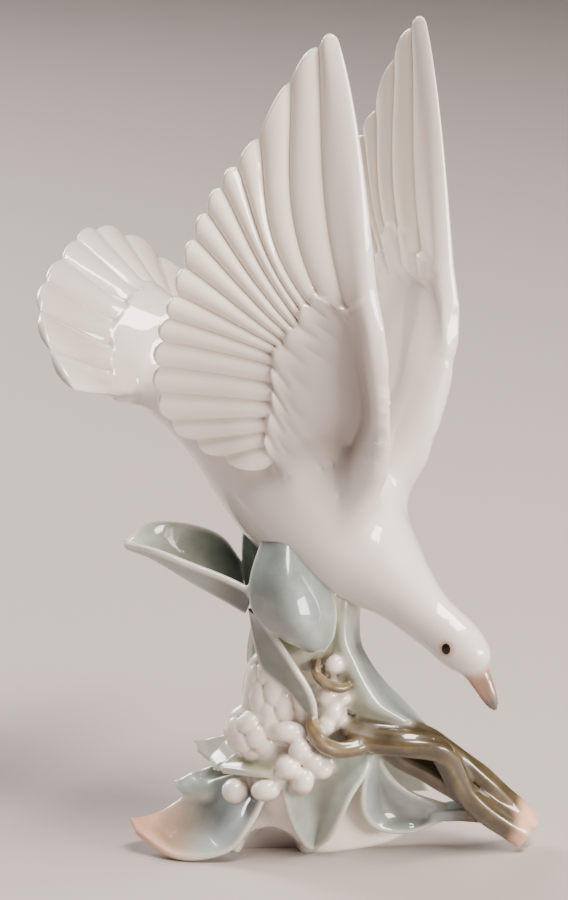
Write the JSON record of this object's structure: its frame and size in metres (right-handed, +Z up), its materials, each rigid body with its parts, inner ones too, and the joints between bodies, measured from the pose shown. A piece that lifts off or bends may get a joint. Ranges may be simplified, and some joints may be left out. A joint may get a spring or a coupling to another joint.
{
  "type": "dove statue",
  "caption": "Glazed porcelain dove statue: a white dove swooping down, wings raised and tail fanned, over a base of leaves, buds and a broken branch.",
  "frame": {"origin": "middle of the figure's outline at table height", "axes": "+Z up; +X to the right of the picture, the way the dove comes down; +Y away from the viewer"},
  "size_m": [0.1754, 0.1346, 0.2878],
  "materials": {
    "glazed_porcelain": "clear gloss glaze over white porcelain with soft painted grey-green, brown and peach"
  },
  "bodies": {
    "root": {"dove_figure": "glazed_porcelain"}
  },
  "joints": []
}
